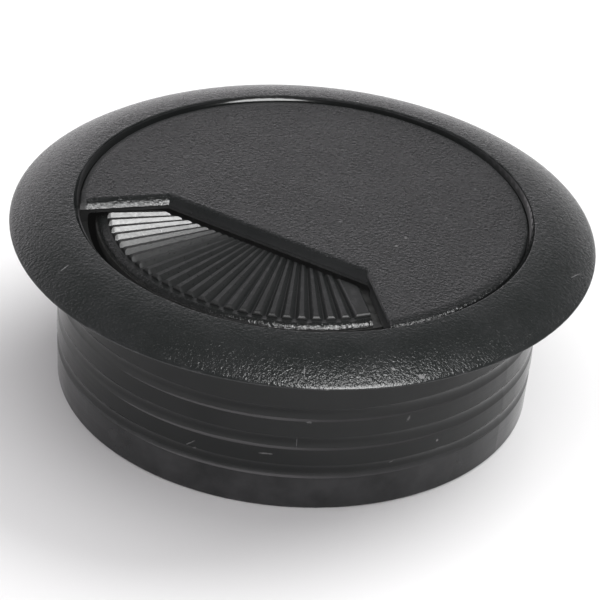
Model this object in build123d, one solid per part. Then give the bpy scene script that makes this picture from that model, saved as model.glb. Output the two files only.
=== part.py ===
from build123d import *
import os
from math import asin, atan2, cos, hypot, pi, radians, sin, sqrt, tan

# Desk cable grommet: a flanged sleeve for a 60 mm desk hole, a round cap with
# a cable outlet cut through to its rim, and a ribbed shutter that turns under
# the cap to open the outlet.
# Millimetres. +Z is up, the origin is on the axis in the plane of the desk
# top, and the outlet points along -Y.

# ---- flanged sleeve -------------------------------------------------------
FLANGE_R = 36.0          # outer edge of the flange
LIP_R = 28.15            # upper recess around the cap
LIP_Z = 2.95             # highest ring of the flange
LIP_EDGE = 0.22          # rounding of the lip's inner edge
GROOVE_R = 27.62         # bore around the cap's edge
GROOVE_Z = 2.25          # foot of the hollow between lip and cap
SLEEVE_R = 29.9          # cylindrical band just under the flange
SLEEVE_TIP_R = 29.45     # lower end, after the draft
SLEEVE_BOTTOM = -21.2
GRIP_Z = (-7.6, -11.7, -15.75)   # centres of the three grip grooves
GRIP_HALF = 0.95         # half width of a groove
GRIP_DEPTH = 0.24
BORE_TOP_R = 28.0        # cable well, under the ledge
BORE_TIP_R = 28.3
SEAT_R = 27.45           # bore that guides the cap's skirt
SEAT_FLOOR = 1.0         # shoulder over the seat
LEDGE_Z = -1.9           # ring that carries the cap
LEDGE_R = 26.0

# ---- cap ------------------------------------------------------------------
CAP_R = 27.45
CAP_TOP = 2.72
CAP_CROWN_R = 26.0       # the flat top ends here and falls off softly,
CAP_CROWN = 0.12         # by this much,
CAP_EDGE = 0.42          # down to the rounding of the edge
PLATE_T = 1.26           # plate over the shutter's path
SKIRT_R = 27.38          # runs in the seat
SKIRT_IN_R = 26.45
SKIRT_BOTTOM = -1.8
SKIRT_OUTLET_Z = 0.25    # height of the skirt where it crosses the outlet
BEAD = 0.22              # snap bead on the skirt
BEAD_Z = -0.95
OUTLET_D = 8.68          # straight inner wall, from the axis
OUTLET_A = 14.2          # length of that wall to the left of the centre line
OUTLET_RIGHT = 14.42     # and to the right
FLARE = 45.0             # flare of the end walls, degrees from the inner wall
ROLL_R = 1.9             # rolled upper edge of the inner and left walls,
ROLL_BEVEL = 0.25        # running out in a 45 degree bevel
RIGHT_R = 0.48           # rounding of the right wall's upper edge
STOP_T = 1.1             # stop for the shutter, under the right end wall
STOP_BOTTOM = 0.60
POST_R = 2.4
POST_HEAD_R = 2.75
POST_SLOT = 0.9
SHOULDER_R = 4.2
SHOULDER_Z = 0.3

# ---- shutter --------------------------------------------------------------
RIB_TOP = 1.38           # ridge line, just under the cap's plate
RIB_FAN = (-1.02, 1.76)  # point that the ribs run out from
RIB_PITCH = 4.06         # degrees
RIB_FIRST = -56.01       # first valley, degrees from the pad's centre line
RIB_VALLEYS = 26
RIB_LAND = 1.25          # flat on a ridge, degrees
RIB_FLOOR = (0.10, 0.32) # flat in a valley, from and to, degrees off its middle
RIB_SLOPE = 45.0         # of the slope on its left; the one on its right is steeper
RIM_C = (-1.04, 0.04)    # centre of the rib ends and of the rim
RIB_END_R = 23.25
RIB_END_EDGE = 0.42      # rounding of the rib ends
RIM_Z = 0.9
RIM_EDGE_R = 0.96        # rounding of the rim's outer edge
RIM_R = 24.65
PAD_D = 9.27             # straight inner edge of the pad, from the axis
PAD_A = 13.50            # from the centre line to its right corner
PAD_A_LEFT = 17.0        # the left end reaches under the cap
PAD_CORNER = 1.5
PAD_EDGE = 0.16          # bevel along the pad's upper edge
WEB_TOP = 0.2            # closing plate under the pad
WEB_BOTTOM = -1.0
WEB_OVER = 2.2           # how far the plate reaches past the pad's edges
HUB_R = 5.5
HUB_BORE_R = 2.47
HUB_BOTTOM = -2.6
PAD_WALL = 1.2           # wall around the pocket under the pad


def outline(start, *runs):
    """Closed face in the XZ plane: straight runs (r, z), arcs (rm, zm, r, z)."""
    edges, at = [], start
    for run in runs + (start,):
        if len(run) == 2:
            if hypot(run[0] - at[0], run[1] - at[1]) > 1e-9:
                edges.append(Edge.make_line((at[0], 0, at[1]), (run[0], 0, run[1])))
            at = run
        else:
            edges.append(Edge.make_three_point_arc(
                (at[0], 0, at[1]), (run[0], 0, run[1]), (run[2], 0, run[3])))
            at = (run[2], run[3])
    return Face(Wire(edges))


def turned(start, *runs):
    return revolve(outline(start, *runs), Axis.Z, 360)


def slab(points, low, high):
    """Prism over an XY polygon, from low to high."""
    wire = Wire.make_polygon([(x, y, low) for x, y in points], close=True)
    return extrude(Face(wire), amount=high - low, dir=(0, 0, 1))


def disc(radius, low, high):
    return Pos(0, 0, (low + high) / 2) * Cylinder(radius, high - low)


# ---- flanged sleeve -------------------------------------------------------
def groove(z, r_low, r_high):
    return [(r_low, z - GRIP_HALF),
            ((r_low + r_high) / 2 - GRIP_DEPTH, z - 0.1, r_high, z + GRIP_HALF)]


steps = []
band_low = [29.74, 29.80, SLEEVE_R]
for z, r_low, r_high in zip(reversed(GRIP_Z), (29.64, 29.72, 29.80), band_low):
    steps += groove(z, r_low, r_high)

sleeve = turned(
    (BORE_TIP_R, SLEEVE_BOTTOM),
    (SLEEVE_TIP_R - 0.3, SLEEVE_BOTTOM),
    (SLEEVE_TIP_R - 0.08, SLEEVE_BOTTOM + 0.09, SLEEVE_TIP_R, SLEEVE_BOTTOM + 0.32),
    *steps,
    (SLEEVE_R, 0.0),
    (FLANGE_R - 0.10, 0.0),
    (FLANGE_R - 0.029, 0.029, FLANGE_R, 0.10),
    (FLANGE_R - 0.018, 0.166, FLANGE_R - 0.08, 0.22),
    (33.0, 1.93, LIP_R + LIP_EDGE, LIP_Z),
    (LIP_R + 0.29 * LIP_EDGE, LIP_Z - 0.26 * LIP_EDGE, LIP_R, LIP_Z - 0.9 * LIP_EDGE),
    ((LIP_R + GROOVE_R) / 2 + 0.043, (LIP_Z - 0.9 * LIP_EDGE + GROOVE_Z) / 2 - 0.043, GROOVE_R, GROOVE_Z),
    (GROOVE_R, SEAT_FLOOR),
    (SEAT_R, SEAT_FLOOR),
    (SEAT_R, BEAD_Z + 0.42),
    (SEAT_R + BEAD + 0.06, BEAD_Z + 0.22),
    (SEAT_R + BEAD + 0.06, BEAD_Z - 0.22),
    (SEAT_R, BEAD_Z - 0.42),
    (SEAT_R, LEDGE_Z),
    (LEDGE_R, LEDGE_Z),
    (LEDGE_R, LEDGE_Z - 1.3),
    (BORE_TOP_R, LEDGE_Z - 3.3),
)

# ---- cap ------------------------------------------------------------------
plate_low = CAP_TOP - PLATE_T
edge_r = CAP_R - CAP_EDGE
crown_a = asin(0.2)
for _ in range(40):
    fall = edge_r + CAP_EDGE * sin(crown_a) - CAP_CROWN_R
    crown_a = 2 * atan2(CAP_CROWN, fall)
crown_r = fall / sin(crown_a)
edge_z = CAP_TOP - CAP_CROWN - CAP_EDGE * cos(crown_a)
cap = turned(
    (0.0, CAP_TOP),
    (CAP_CROWN_R, CAP_TOP),
    (crown_r * sin(crown_a / 2) + CAP_CROWN_R, CAP_TOP - crown_r * (1 - cos(crown_a / 2)),
     edge_r + CAP_EDGE * sin(crown_a), edge_z + CAP_EDGE * cos(crown_a)),
    (edge_r + CAP_EDGE * sin((crown_a + pi / 2) / 2), edge_z + CAP_EDGE * cos((crown_a + pi / 2) / 2), CAP_R, edge_z),
    (CAP_R, SEAT_FLOOR + 0.12),
    (SKIRT_R, SEAT_FLOOR - 0.01),
    (SKIRT_R, BEAD_Z + 0.32),
    (SKIRT_R + BEAD, BEAD_Z + 0.14),
    (SKIRT_R + BEAD, BEAD_Z - 0.14),
    (SKIRT_R, BEAD_Z - 0.32),
    (SKIRT_R, SKIRT_BOTTOM + 0.25),
    (SKIRT_R - 0.25, SKIRT_BOTTOM),
    (SKIRT_IN_R, SKIRT_BOTTOM),
    (SKIRT_IN_R, plate_low - 0.25),
    (SKIRT_IN_R - 0.25, plate_low),
    (SHOULDER_R, plate_low),
    (SHOULDER_R, SHOULDER_Z),
    (POST_R, SHOULDER_Z),
    (POST_R, HUB_BOTTOM - 0.15),
    (POST_HEAD_R, HUB_BOTTOM - 0.25),
    (POST_HEAD_R, HUB_BOTTOM - 0.6),
    (POST_R - 0.5, HUB_BOTTOM - 1.5),
    (0.0, HUB_BOTTOM - 1.5),
)

flare_x, flare_y = cos(radians(FLARE)), sin(radians(FLARE))


def wall_side(x, y, turn, roll, steep, bevel):
    """Space on the outlet's side of one wall, which passes (x, y) and faces -Y
    before it turns about that point. The wall's upper edge is rolled over: an
    arc that leaves the top face at a slight angle and ends at the steep slope,
    then a bevel on that slope."""
    top = CAP_TOP + 0.004
    a, half = radians(steep), radians(steep / 2)
    width, drop = roll * sin(a), roll * (1 - cos(a))
    section = outline(
        (40.0, SKIRT_OUTLET_Z), (0.0, SKIRT_OUTLET_Z), (0.0, top - drop - bevel),
        (-bevel / tan(a), top - drop),
        (-bevel / tan(a) - width + roll * sin(half), top - roll * (1 - cos(half)),
         -bevel / tan(a) - width, top),
        (-bevel / tan(a) - width, CAP_TOP + 2), (40.0, CAP_TOP + 2))
    run = Pos(0, 60, 0) * extrude(section, amount=120, dir=(0, -1, 0))
    return Pos(x, y, 0) * Rot(0, 0, turn - 90) * run


outlet = wall_side(0, -OUTLET_D, 0, ROLL_R, 45.0, ROLL_BEVEL)
outlet &= wall_side(OUTLET_RIGHT, -OUTLET_D, -FLARE, RIGHT_R, 75.0, 0.02)
outlet &= wall_side(-OUTLET_A, -OUTLET_D, FLARE, ROLL_R, 45.0, ROLL_BEVEL)

# Stop under the plate along the outlet's right end wall.
near, far = 1.2, 17.0
stop = slab([(OUTLET_RIGHT + flare_x * t + flare_y * s, -OUTLET_D - flare_y * t + flare_x * s)
             for t, s in ((near, -0.5), (far, -0.5), (far, STOP_T), (near, STOP_T))],
            STOP_BOTTOM, plate_low + 0.2)
stop &= disc(SKIRT_IN_R + 0.3, STOP_BOTTOM - 1, plate_low + 1)
cap += stop
cap -= outlet
cap -= Pos(0, 0, HUB_BOTTOM - 0.2) * Box(2 * POST_HEAD_R + 1, POST_SLOT, 4.4)

# ---- shutter --------------------------------------------------------------
end_r = 30.0


def about_rim(shape):
    return Pos(RIM_C[0], RIM_C[1], 0) * shape


def pad(inset, low, high):
    """Footprint of the pad, moved in by the inset and open outwards."""
    d = PAD_D + inset
    a = PAD_A - inset * (1 - flare_x) / flare_y
    b = PAD_A_LEFT - inset * (1 - flare_x) / flare_y
    plan = slab([(-b, -d), (a, -d), (a + flare_x * end_r, -d - flare_y * end_r),
                 (-b - flare_x * end_r, -d - flare_y * end_r)], low, high)
    corners = [e for e in plan.edges().filter_by(Axis.Z) if abs(e.center().Y + d) < 1e-6]
    return fillet(corners, max(PAD_CORNER - inset * 0.6, 0.4))


block = pad(0, WEB_TOP - 0.4, RIB_TOP)
top_edges = [e for e in block.edges()
             if abs(e.center().Z - RIB_TOP) < 1e-6 and e.center().Y > -PAD_D - end_r * flare_y + 1.5]
block = chamfer(top_edges, PAD_EDGE)
block &= about_rim(turned(
    (0, WEB_TOP - 1), (RIB_END_R, WEB_TOP - 1), (RIB_END_R, RIB_TOP - RIB_END_EDGE),
    (RIB_END_R - RIB_END_EDGE * (1 - sqrt(0.5)), RIB_TOP - RIB_END_EDGE * (1 - sqrt(0.5)),
     RIB_END_R - RIB_END_EDGE, RIB_TOP), (0, RIB_TOP)))

# Wedge with its point at the height of the ridges: the valley grows wider and
# deeper outwards between two slopes that keep their angles.
base_r = RIB_END_R + 4.0
w_top = base_r * tan(radians((RIB_PITCH - RIB_LAND) / 2))
w_left, w_right = (base_r * tan(radians(a)) for a in RIB_FLOOR)
depth = (w_top + w_left) * tan(radians(RIB_SLOPE))
p = [(base_r, -w_top, 0), (base_r, w_top, 0), (base_r, w_right, -depth), (base_r, w_left, -depth)]
tip = (0, 0, 0)
wedge = Solid(Shell([Face(Wire.make_polygon(q, close=True)) for q in
                     (p, (tip, p[0], p[1]), (tip, p[1], p[2]), (tip, p[2], p[3]), (tip, p[3], p[0]))]))
for k in range(RIB_VALLEYS):
    block -= Pos(RIB_FAN[0], RIB_FAN[1], RIB_TOP) * Rot(0, 0, -90.0 + RIB_FIRST + k * RIB_PITCH) * wedge

rim = pad(0, WEB_BOTTOM, RIM_Z) & about_rim(turned(
    (RIB_END_R - 0.2, WEB_BOTTOM), (RIM_R, WEB_BOTTOM), (RIM_R, RIM_Z - RIM_EDGE_R),
    (RIM_R - RIM_EDGE_R * (1 - sqrt(0.5)), RIM_Z - RIM_EDGE_R * (1 - sqrt(0.5)), RIM_R - RIM_EDGE_R, RIM_Z),
    (RIB_END_R - 0.2, RIM_Z)))

web_a = PAD_A + WEB_OVER * (1 - flare_x) / flare_y
web_b = PAD_A_LEFT + WEB_OVER * (1 - flare_x) / flare_y
web_d = PAD_D - WEB_OVER
web = slab([(-5.2, -0.5), (5.2, -0.5), (web_a, -web_d), (web_a + flare_x * end_r, -web_d - flare_y * end_r),
            (-web_b - flare_x * end_r, -web_d - flare_y * end_r), (-web_b, -web_d)],
           WEB_BOTTOM, WEB_TOP) & about_rim(disc(RIM_R, WEB_BOTTOM - 1, WEB_TOP + 1))
pocket = pad(PAD_WALL, WEB_BOTTOM - 1, WEB_TOP) & about_rim(disc(RIM_R - PAD_WALL, WEB_BOTTOM - 2, WEB_TOP + 1))
shutter = block + rim + (web + disc(HUB_R, HUB_BOTTOM, WEB_TOP))
shutter -= pocket
shutter -= disc(HUB_BORE_R, HUB_BOTTOM - 1, WEB_TOP + 1)

os.makedirs("parts", exist_ok=True)
for name, shape in (("flanged_sleeve", sleeve), ("outlet_cap", cap), ("ribbed_shutter", shutter)):
    solids = shape.solids()
    print(name, len(solids), "solids", round(sum(s.volume for s in solids), 1), "mm3")
    part = Part(solids[0].wrapped) if len(solids) == 1 else Compound(solids)
    part.label = name
    export_step(part, os.path.join("parts", name + ".step"))
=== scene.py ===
from math import cos, pi, radians, sin

import bpy
from mathutils import Matrix, Vector


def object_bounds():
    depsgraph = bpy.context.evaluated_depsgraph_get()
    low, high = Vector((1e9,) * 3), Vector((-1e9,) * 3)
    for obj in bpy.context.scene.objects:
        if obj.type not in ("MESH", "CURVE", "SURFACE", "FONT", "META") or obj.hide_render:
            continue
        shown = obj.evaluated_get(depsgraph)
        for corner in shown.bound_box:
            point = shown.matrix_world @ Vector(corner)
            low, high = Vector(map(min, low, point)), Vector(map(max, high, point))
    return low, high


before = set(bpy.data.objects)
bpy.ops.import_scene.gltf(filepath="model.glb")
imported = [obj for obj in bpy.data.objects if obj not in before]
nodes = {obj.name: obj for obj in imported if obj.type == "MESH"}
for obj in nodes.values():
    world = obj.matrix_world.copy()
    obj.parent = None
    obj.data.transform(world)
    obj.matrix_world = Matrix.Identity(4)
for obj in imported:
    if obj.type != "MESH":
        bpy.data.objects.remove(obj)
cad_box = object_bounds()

scene = bpy.context.scene
MM = 0.001

# ---------------------------------------------------------------- camera
forward = Vector((-0.41985, 0.73726, -0.52933)).normalized()
right = Vector((0.86898, 0.49485, 0.0)).normalized()
up = right.cross(forward)
roll = radians(4.72)
cam_x = right * cos(roll) + up * sin(roll)
cam_y = up * cos(roll) - right * sin(roll)
lens = bpy.data.cameras.new("camera")
lens.sensor_width = 36.0
lens.lens = 36.0 * 3316.5 / 600
lens.clip_start = 0.01
lens.clip_end = 50.0
camera = bpy.data.objects.new("camera", lens)
scene.collection.objects.link(camera)
place = Matrix((cam_x, cam_y, -forward)).transposed().to_4x4()
place.translation = Vector((173.53, -304.06, 207.95)) * MM
camera.matrix_world = place
scene.camera = camera


# ---------------------------------------------------------------- node helpers
class Nodes:
    """Short hand for building one node tree."""

    def __init__(self, tree):
        self.tree = tree
        self.tree.nodes.clear()

    def put(self, socket, value):
        if value is None:
            return
        if isinstance(value, bpy.types.NodeSocket):
            self.tree.links.new(value, socket)
        elif isinstance(value, tuple) and len(value) == 3 and socket.type == "RGBA":
            socket.default_value = (*value, 1.0)
        else:
            socket.default_value = value

    def new(self, kind, **props):
        n = self.tree.nodes.new(kind)
        for k, v in props.items():
            setattr(n, k, v)
        return n

    def math(self, op, a, b=None, c=None, clamp=False):
        n = self.new("ShaderNodeMath", operation=op, use_clamp=clamp)
        for i, v in enumerate((a, b, c)):
            self.put(n.inputs[i], v)
        return n.outputs[0]

    def step(self, value, low, high, to_low=0.0, to_high=1.0):
        n = self.new("ShaderNodeMapRange", interpolation_type="SMOOTHSTEP")
        for i, v in enumerate((value, low, high, to_low, to_high)):
            self.put(n.inputs[i], v)
        return n.outputs[0]

    def line(self, value, low, high, to_low, to_high):
        n = self.new("ShaderNodeMapRange", interpolation_type="LINEAR", clamp=True)
        for i, v in enumerate((value, low, high, to_low, to_high)):
            self.put(n.inputs[i], v)
        return n.outputs[0]

    def mix(self, amount, a, b):
        n = self.new("ShaderNodeMix", data_type="FLOAT")
        self.put(n.inputs[0], amount)
        self.put(n.inputs[2], a)
        self.put(n.inputs[3], b)
        return n.outputs[0]

    def colour(self, amount, a, b):
        n = self.new("ShaderNodeMix", data_type="RGBA", blend_type="MIX")
        self.put(n.inputs[0], amount)
        self.put(n.inputs[6], a)
        self.put(n.inputs[7], b)
        return n.outputs[2]

    def noise(self, vector, scale, detail=2.0, rough=0.5, warp=0.0):
        n = self.new("ShaderNodeTexNoise", noise_dimensions="3D")
        self.put(n.inputs["Vector"], vector)
        n.inputs["Scale"].default_value = scale
        n.inputs["Detail"].default_value = detail
        n.inputs["Roughness"].default_value = rough
        n.inputs["Distortion"].default_value = warp
        return n.outputs[0]

    def cells(self, vector, scale, feature="F1"):
        n = self.new("ShaderNodeTexVoronoi", voronoi_dimensions="3D", feature=feature)
        self.put(n.inputs["Vector"], vector)
        n.inputs["Scale"].default_value = scale
        return n

    def stretch(self, vector, scale):
        n = self.new("ShaderNodeMapping", vector_type="POINT")
        self.put(n.inputs["Vector"], vector)
        n.inputs["Scale"].default_value = scale
        return n.outputs[0]

    def bump(self, height, depth, strength=1.0, normal=None):
        n = self.new("ShaderNodeBump")
        n.inputs["Strength"].default_value = strength
        n.inputs["Distance"].default_value = depth
        self.put(n.inputs["Height"], height)
        if normal is not None:
            self.put(n.inputs["Normal"], normal)
        return n.outputs[0]

    def spot(self, vector, centre, angle, half_length, half_width, ragged=None):
        """Soft elliptical mark in the vector's first two coordinates, sizes in mm."""
        n = self.new("ShaderNodeMapping", vector_type="TEXTURE")
        self.put(n.inputs["Vector"], vector)
        n.inputs["Location"].default_value = (centre[0] * MM, centre[1] * MM, 0.0)
        n.inputs["Rotation"].default_value = (0.0, 0.0, radians(angle))
        n.inputs["Scale"].default_value = (half_length * MM, half_width * MM, 10.0)
        length = self.new("ShaderNodeVectorMath", operation="LENGTH")
        self.put(length.inputs[0], n.outputs[0])
        reach = length.outputs["Value"]
        if ragged is not None:
            reach = self.math("ADD", reach, ragged)
        return self.step(reach, 0.45, 1.0, 1.0, 0.0)

    def most(self, *values):
        out = values[0]
        for v in values[1:]:
            out = self.math("MAXIMUM", out, v)
        return out


def object_space(n):
    """Object coordinates, radius and height, in metres."""
    where = n.new("ShaderNodeTexCoord").outputs["Object"]
    parts = n.new("ShaderNodeSeparateXYZ")
    n.put(parts.inputs[0], where)
    x, y, z = parts.outputs
    radius = n.math("SQRT", n.math("ADD", n.math("MULTIPLY", x, x), n.math("MULTIPLY", y, y)))
    return where, x, y, z, radius


def shader(n, colour, rough, normal, specular=0.5):
    bsdf = n.new("ShaderNodeBsdfPrincipled")
    n.put(bsdf.inputs["Base Color"], colour)
    n.put(bsdf.inputs["Roughness"], rough)
    n.put(bsdf.inputs["Normal"], normal)
    bsdf.inputs["IOR"].default_value = 1.5
    bsdf.inputs["Specular IOR Level"].default_value = specular
    out = n.new("ShaderNodeOutputMaterial")
    n.tree.links.new(bsdf.outputs[0], out.inputs["Surface"])


def material(name):
    mat = bpy.data.materials.new(name)
    mat.use_nodes = True
    return mat, Nodes(mat.node_tree)


# ---------------------------------------------------------------- plastics
BLACK = (0.0116, 0.0134, 0.0130)
CHARCOAL = (0.0160, 0.0175, 0.0175)
SMOOTH = (0.0036, 0.0043, 0.0042)
# pale colour painted into deep gaps and recesses as fill light that lifts them from black
GAP_PAINTED_LIGHT = (0.110, 0.111, 0.109)
RUBBED = (0.055, 0.055, 0.057)
SCUFF = (0.20, 0.20, 0.20)
DUST = (0.26, 0.26, 0.255)


def grain_height(n, where):
    """Spark-eroded mould finish: small rounded craters in two sizes."""
    big = n.noise(where, 2600.0, 2.0, 0.55, 0.2)
    small = n.noise(where, 6200.0, 1.0, 0.5)
    return n.math("ADD", n.math("MULTIPLY", big, 0.72), n.math("MULTIPLY", small, 0.28))


def specks(n, where, scale, size, share):
    """Few pale specks of dust: a share of the cells of a Voronoi pattern."""
    v = n.cells(where, scale)
    pick = n.new("ShaderNodeSeparateColor")
    n.put(pick.inputs[0], v.outputs["Color"])
    near = n.step(v.outputs["Distance"], size * 0.5, size, 1.0, 0.0)
    return n.math("MULTIPLY", near, n.math("LESS_THAN", pick.outputs[0], share))


def sleeve_material():
    mat, n = material("sleeve_black_plastic")
    where, x, y, z, r = object_space(n)
    # grained on the flange's upper side and rim, smooth everywhere else
    grained = n.math("MULTIPLY", n.step(z, 0.10 * MM, 0.5 * MM), n.step(r, 28.12 * MM, 28.25 * MM))
    wall_s = n.math("MULTIPLY", n.math("ARCTAN2", y, x), 29.7 * MM)
    wall = n.new("ShaderNodeCombineXYZ")
    n.put(wall.inputs[0], wall_s)
    n.put(wall.inputs[1], z)
    wall = wall.outputs[0]
    below = n.step(z, -0.6 * MM, -0.1 * MM, 1.0, 0.0)
    outside = n.step(r, 29.0 * MM, 29.2 * MM)
    on_wall = n.math("MULTIPLY", below, outside)

    cloud = n.noise(where, 160.0, 3.0, 0.55)
    fine = n.noise(where, 1500.0, 2.0, 0.6)
    ragged = n.math("MULTIPLY", n.math("SUBTRACT", n.noise(where, 3500.0, 1.0), 0.5), 1.6)
    colour = n.colour(n.step(cloud, 0.35, 0.68), BLACK, CHARCOAL)
    colour = n.colour(on_wall, colour, SMOOTH)
    # smooth colour inside the lip, and in the groove around the cap a painted fill light: a pale colour that lifts
    # the gap from black
    inside = n.step(r, 28.08 * MM, 28.16 * MM, 1.0, 0.0)
    colour = n.colour(inside, colour, SMOOTH)
    groove = n.math("MULTIPLY", n.math("MULTIPLY", inside, n.step(z, -2.2 * MM, -1.8 * MM)),
                    n.step(z, 2.05 * MM, 2.22 * MM, 1.0, 0.0))
    groove = n.math("MULTIPLY", groove, n.line(n.noise(where, 900.0, 3.0, 0.6), 0.3, 0.7, 0.35, 1.0))
    colour = n.colour(n.math("MULTIPLY", groove, 0.08), colour, GAP_PAINTED_LIGHT)

    # rubbed edges: flange rim, lip around the cap, foot of the sleeve
    worn = n.step(n.noise(where, 420.0, 4.0, 0.62), 0.50, 0.70)
    rim = n.math("MULTIPLY", n.step(r, 35.72 * MM, 35.95 * MM), n.step(z, -0.1 * MM, 0.05 * MM))
    lip = n.math("MULTIPLY", n.step(r, 28.30 * MM, 28.45 * MM, 1.0, 0.0), n.step(z, 2.75 * MM, 2.85 * MM))
    foot = n.math("MULTIPLY", n.step(z, -20.95 * MM, -20.7 * MM, 1.0, 0.0), outside)
    edges = n.math("MULTIPLY", n.most(rim, lip, foot), worn)
    colour = n.colour(n.math("MULTIPLY", edges, 0.55), colour, RUBBED)

    # scratches and scuffs
    top = n.most(
        n.spot(where, (-15.5, -28.8), 72.7, 0.85, 0.075, ragged),
        n.spot(where, (18.2, -28.9), -55.8, 0.75, 0.06, ragged),
        n.spot(where, (26.0, -22.2), 22.2, 0.35, 0.22, ragged),
        n.spot(where, (28.8, -20.5), 50.2, 0.55, 0.28, ragged),
        n.spot(where, (-4.5, 31.0), 12.2, 0.22, 0.16, ragged),
        n.spot(where, (32.9, 9.2), 86.2, 1.3, 0.05, ragged),
        n.spot(where, (-30.5, 13.4), 42.2, 0.9, 0.05, ragged),
    )
    top = n.math("MULTIPLY", top, n.step(z, 0.1 * MM, 0.4 * MM))

    def at(angle, height):
        return (radians(angle) * 29.7, height)

    side = n.most(
        n.spot(wall, at(-81.4, -14.9), 35.0, 0.32, 0.16, ragged),
        n.spot(wall, at(-82.4, -14.3), 40.0, 0.9, 0.10, ragged),
        n.spot(wall, at(-64.5, -13.5), 4.0, 0.95, 0.14, ragged),
        n.spot(wall, at(-57.8, -11.6), 90.0, 0.75, 0.06, ragged),
        n.spot(wall, at(-55.4, -8.6), 0.0, 0.35, 0.15, ragged),
        n.spot(wall, at(-31.9, -9.2), 60.0, 0.45, 0.25, ragged),
        n.spot(wall, at(-34.9, -15.2), 15.0, 0.3, 0.12, ragged),
        n.spot(wall, at(37.2, -12.4), 82.0, 1.6, 0.07, ragged),
        n.spot(wall, at(114.2, -9.8), 12.0, 1.5, 0.09, ragged),
        n.spot(wall, at(162.2, -17.2), 74.0, 1.1, 0.07, ragged),
    )
    side = n.math("MULTIPLY", side, on_wall)
    # the wall turns lighter towards the foot of the sleeve, mixed towards the rubbed-edge grey
    foot_band = n.math("MULTIPLY", n.step(z, -17.2 * MM, -15.8 * MM, 1.0, 0.15), on_wall)
    foot_band = n.math("MULTIPLY", foot_band, n.line(n.noise(where, 240.0, 4.0, 0.6), 0.3, 0.7, 0.3, 1.0))
    colour = n.colour(n.math("MULTIPLY", foot_band, 0.45), colour, RUBBED)
    colour = n.colour(n.math("MULTIPLY", top, 0.75), colour, SCUFF)
    colour = n.colour(n.math("MULTIPLY", side, 0.32), colour, SCUFF)
    dust = specks(n, where, 330.0, 0.075, 0.05)
    colour = n.colour(n.math("MULTIPLY", dust, 0.35), colour, DUST)

    # faint draw marks down the sleeve, from the push into the desk
    draw = n.noise(n.stretch(wall, (1.0, 0.05, 1.0)), 900.0, 3.0, 0.6)
    drawn = n.math("MULTIPLY", n.step(draw, 0.55, 0.75), on_wall)
    smooth_rough = n.math("ADD", n.line(cloud, 0.3, 0.7, 0.11, 0.17), n.math("MULTIPLY", drawn, 0.08))
    grain_rough = n.line(fine, 0.3, 0.7, 0.20, 0.30)
    rough = n.mix(grained, smooth_rough, grain_rough)
    rough = n.math("ADD", rough, n.math("MULTIPLY", n.most(top, side), 0.2), clamp=True)

    # ripples of the moulded wall, then the grain
    ripple = n.noise(n.stretch(where, (1.0, 1.0, 0.45)), 260.0, 2.0, 0.5)
    normal = n.bump(n.math("MULTIPLY", ripple, on_wall), 0.055 * MM)
    band = n.noise(n.stretch(wall, (0.07, 1.0, 1.0)), 620.0, 2.0, 0.5)
    normal = n.bump(n.math("MULTIPLY", band, on_wall), 0.045 * MM, normal=normal)
    normal = n.bump(n.math("MULTIPLY", draw, on_wall), 0.006 * MM, normal=normal)
    normal = n.bump(n.math("MULTIPLY", grain_height(n, where), grained), 0.16 * MM, normal=normal)
    shader(n, colour, rough, normal, specular=0.26)
    return mat


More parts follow.
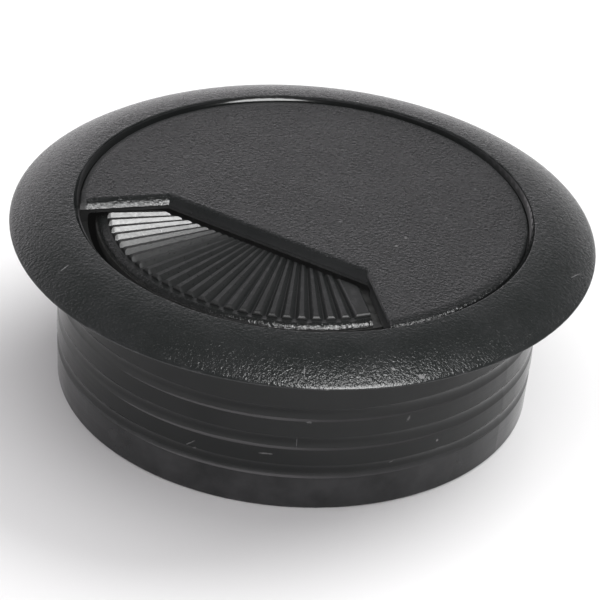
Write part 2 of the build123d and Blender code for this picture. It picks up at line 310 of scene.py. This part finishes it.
def cap_material():
    mat, n = material("cap_black_plastic")
    where, x, y, z, r = object_space(n)
    on_rim = n.math("MULTIPLY", n.step(r, 26.6 * MM, 26.9 * MM), n.step(z, 2.15 * MM, 2.3 * MM))
    left = n.math("MULTIPLY", n.step(x, -14.6 * MM, -13.6 * MM, 1.0, 0.0), n.step(z, 1.85 * MM, 1.95 * MM))
    grained = n.most(n.step(z, 2.40 * MM, 2.68 * MM), on_rim, n.math("MULTIPLY", left, 0.70),
                     n.step(z, 1.85 * MM, 1.95 * MM, 0.0, 0.4))
    cloud = n.noise(where, 140.0, 3.0, 0.55)
    fine = n.noise(where, 1700.0, 2.0, 0.6)
    ragged = n.math("MULTIPLY", n.math("SUBTRACT", n.noise(where, 3500.0, 1.0), 0.5), 1.6)
    colour = n.colour(n.step(cloud, 0.35, 0.68), (0.0076, 0.0087, 0.0087), (0.0106, 0.0117, 0.0118))
    worn = n.step(n.noise(where, 420.0, 4.0, 0.62), 0.50, 0.70)
    # painted light: the cap's walls below its top get a lighter colour that lifts them out of their shade
    painted_deep_light = n.step(z, 1.72 * MM, 1.88 * MM, 1.0, 0.0)
    colour = n.colour(painted_deep_light, colour, (0.0155, 0.0172, 0.0170))
    # painted fill light: the deep gaps under the cap get the pale gap colour
    painted_deep_light = n.math("MULTIPLY", n.step(z, 0.20 * MM, 1.30 * MM, 1.0, 0.15), painted_deep_light)
    painted_deep_light = n.math("MULTIPLY", painted_deep_light, n.line(n.noise(where, 900.0, 3.0, 0.6), 0.3, 0.7, 0.35, 1.0))
    # painted shade: the skirt under the cap's edge, down in the groove, gets a near-black colour
    skirt = n.math("MULTIPLY", n.step(r, 26.1 * MM, 26.4 * MM), n.step(z, 1.72 * MM, 1.88 * MM, 1.0, 0.0))
    painted_deep_light = n.math("MULTIPLY", painted_deep_light, n.math("SUBTRACT", 1.0, skirt))
    painted_deep_light = n.math("MULTIPLY", painted_deep_light, n.step(z, -0.3 * MM, 0.1 * MM))
    colour = n.colour(painted_deep_light, colour, GAP_PAINTED_LIGHT)
    colour = n.colour(skirt, colour, (0.0026, 0.0030, 0.0030))
    rim = n.math("MULTIPLY", n.step(r, 27.0 * MM, 27.25 * MM), n.step(z, 2.25 * MM, 2.4 * MM))
    colour = n.colour(n.math("MULTIPLY", n.math("MULTIPLY", rim, worn), 0.5), colour, RUBBED)
    marks = n.most(
        n.spot(where, (5.1, 0.1), 62.2, 0.30, 0.16, ragged),
        n.spot(where, (14.1, 17.5), 32.2, 0.22, 0.15, ragged),
        n.spot(where, (14.8, 9.1), 12.2, 0.16, 0.12, ragged),
        n.spot(where, (-8.2, -0.5), 77.2, 0.30, 0.08, ragged),
        n.spot(where, (-4.1, 15.4), 22.2, 1.4, 0.04, ragged),
    )
    marks = n.math("MULTIPLY", marks, n.step(z, 2.6 * MM, 2.7 * MM))
    colour = n.colour(n.math("MULTIPLY", marks, 0.55), colour, SCUFF)
    dust = specks(n, where, 300.0, 0.075, 0.05)
    colour = n.colour(n.math("MULTIPLY", dust, 0.35), colour, DUST)
    rough = n.mix(grained, n.line(cloud, 0.3, 0.7, 0.30, 0.38), n.line(fine, 0.3, 0.7, 0.20, 0.30))
    polished = n.math("MULTIPLY", left, n.step(z, 2.60 * MM, 2.70 * MM, 1.0, 0.0))
    rough = n.mix(polished, rough, n.line(fine, 0.3, 0.7, 0.16, 0.26))
    rough = n.mix(n.math("MULTIPLY", polished, n.step(r, 26.5 * MM, 26.9 * MM)), rough, 0.60)
    rough = n.mix(skirt, rough, 0.62)
    normal = n.bump(n.math("MULTIPLY", grain_height(n, where), grained), 0.18 * MM)
    shader(n, colour, rough, normal, specular=0.34)
    return mat


def shutter_material():
    mat, n = material("shutter_black_plastic")
    where, x, y, z, r = object_space(n)
    # the rim's centre lies a little off the axis
    dx, dy = n.math("ADD", x, 1.04 * MM), n.math("SUBTRACT", y, 0.04 * MM)
    rim_r = n.math("SQRT", n.math("ADD", n.math("MULTIPLY", dx, dx), n.math("MULTIPLY", dy, dy)))
    grained = n.math("MULTIPLY", n.step(rim_r, 23.5 * MM, 23.8 * MM), n.step(z, 0.2 * MM, 0.4 * MM))
    cloud = n.noise(where, 180.0, 3.0, 0.55)
    fine = n.noise(where, 2600.0, 2.0, 0.6)
    colour = n.colour(n.step(cloud, 0.35, 0.68), (0.0066, 0.0076, 0.0075), (0.0096, 0.0106, 0.0105))
    worn = n.step(n.noise(where, 900.0, 3.0, 0.6), 0.50, 0.72)
    ridge = n.math("MULTIPLY", n.step(z, 1.33 * MM, 1.375 * MM), worn)
    colour = n.colour(n.math("MULTIPLY", ridge, 0.25), colour, RUBBED)
    # painted fill light: the low web and the slot under the cap get the pale gap colour
    painted_deep_light = n.most(n.step(z, 0.30 * MM, 0.55 * MM, 1.0, 0.0), n.step(y, -9.30 * MM, -9.24 * MM))
    painted_deep_light = n.math("MULTIPLY", painted_deep_light, n.step(z, -0.9 * MM, -0.5 * MM))
    painted_deep_light = n.math("MULTIPLY", painted_deep_light, n.line(n.noise(where, 900.0, 3.0, 0.6), 0.3, 0.7, 0.35, 1.0))
    colour = n.colour(painted_deep_light, colour, GAP_PAINTED_LIGHT)
    dust = specks(n, where, 420.0, 0.075, 0.06)
    colour = n.colour(n.math("MULTIPLY", dust, 0.3), colour, DUST)
    rough = n.mix(grained, n.line(fine, 0.3, 0.7, 0.27, 0.36), n.line(fine, 0.3, 0.7, 0.20, 0.30))
    rib_end = n.math("MULTIPLY", n.step(rim_r, 22.75 * MM, 22.95 * MM), n.step(z, 0.92 * MM, 0.96 * MM))
    rough = n.mix(rib_end, rough, 0.50)
    normal = n.bump(fine, 0.010 * MM)
    normal = n.bump(n.math("MULTIPLY", grain_height(n, where), grained), 0.14 * MM, normal=normal)
    shader(n, colour, rough, normal, specular=0.48)
    return mat


for name, make in (("flanged_sleeve", sleeve_material), ("outlet_cap", cap_material),
                   ("ribbed_shutter", shutter_material)):
    mesh = nodes[name].data
    mesh.materials.clear()
    mesh.materials.append(make())

# ---------------------------------------------------------------- floor
low = cad_box[0][2]
half = 2.0
floor_mesh = bpy.data.meshes.new("floor")
floor_mesh.from_pydata([(-half, -half, low), (half, -half, low), (half, half, low), (-half, half, low)],
                       [], [(0, 1, 2, 3)])
floor = bpy.data.objects.new("floor", floor_mesh)
scene.collection.objects.link(floor)
mat, n = material("pale_floor")
where = n.new("ShaderNodeTexCoord").outputs["Object"]
shader(n, n.colour(n.noise(where, 30.0, 2.0), (0.76, 0.76, 0.76), (0.78, 0.78, 0.78)),
       n.line(n.noise(where, 12.0, 2.0), 0.3, 0.7, 0.75, 0.85), None, specular=0.2)
floor_mesh.materials.append(mat)

# ---------------------------------------------------------------- light
RIGHT = Vector((right.x, right.y))
BACK = Vector((-right.y, right.x))
world = bpy.data.worlds.new("studio")
scene.world = world
world.use_nodes = True
n = Nodes(world.node_tree)
direction = n.new("ShaderNodeTexCoord").outputs["Generated"]
parts = n.new("ShaderNodeSeparateXYZ")
n.put(parts.inputs[0], direction)
# bright low down behind and to the left, darker upwards and to the right
dx, dy, dz = parts.outputs
low_part = n.math("ADD", n.line(dz, 0.10, 0.60, 1.20, 0.265), n.line(dz, 0.0, 0.16, 1.25, 0.0))
high_part = n.line(dz, 0.60, 0.85, 0.0, 0.24)
glow = n.math("SUBTRACT", low_part, high_part)
aside = n.math("ADD", n.math("MULTIPLY", dx, RIGHT[0]), n.math("MULTIPLY", dy, RIGHT[1]))
ahead = n.math("ADD", n.math("MULTIPLY", dx, -BACK[0]), n.math("MULTIPLY", dy, -BACK[1]))
flat = n.math("SQRT", n.math("ADD", n.math("ADD", n.math("MULTIPLY", dx, dx), n.math("MULTIPLY", dy, dy)), 0.0001))
glow = n.math("MULTIPLY", glow, n.step(n.math("DIVIDE", aside, flat), -0.06, 0.42, 1.0, 0.27))
# a bright band low down in front and at the sides
front = n.math("MULTIPLY", n.step(n.math("DIVIDE", ahead, flat), -0.20, 0.30), n.step(dz, 0.30, 0.50, 1.0, 0.0))
glow = n.math("ADD", glow, n.math("MULTIPLY", front, 1.3))
background = n.new("ShaderNodeBackground")
background.inputs["Color"].default_value = (1.03, 0.985, 1.025, 1.0)
n.put(background.inputs["Strength"], glow)
n.tree.links.new(background.outputs[0], n.new("ShaderNodeOutputWorld").inputs["Surface"])


def softbox(name, towards, distance, size, radiance, diffuse=True, glossy=True):
    lamp = bpy.data.lights.new(name, "AREA")
    lamp.shape = "DISK"
    lamp.size = size
    lamp.energy = radiance * pi * pi * (size / 2) ** 2
    o = bpy.data.objects.new(name, lamp)
    scene.collection.objects.link(o)
    d = Vector(towards).normalized()
    o.location = d * distance
    o.rotation_euler = d.to_track_quat("Z", "Y").to_euler()
    o.visible_diffuse = diffuse
    o.visible_glossy = glossy
    return o


# key light above the camera, a little to its right, for the gloss, and two
# wide fills, overhead and from behind on the right, that keep the shadows soft
key = Vector((*(RIGHT * 0.305 + BACK * -0.4735), 0.826))
softbox("key_softbox", key, 1.2, 0.60, 27.0, diffuse=False)
softbox("top_softbox", (*(RIGHT * 0.1), 1.0), 1.6, 3.0, 1.5, glossy=False)
softbox("side_softbox", (*(RIGHT * 0.54 + BACK * 0.56), 0.63), 1.6, 1.4, 6.0, glossy=False)

scene.view_settings.view_transform = "Standard"
# a little veiling glare, as in a photograph
scene.view_settings.use_curve_mapping = True
scene.view_settings.curve_mapping.black_level = (-0.004, -0.004, -0.004)
scene.view_settings.curve_mapping.update()
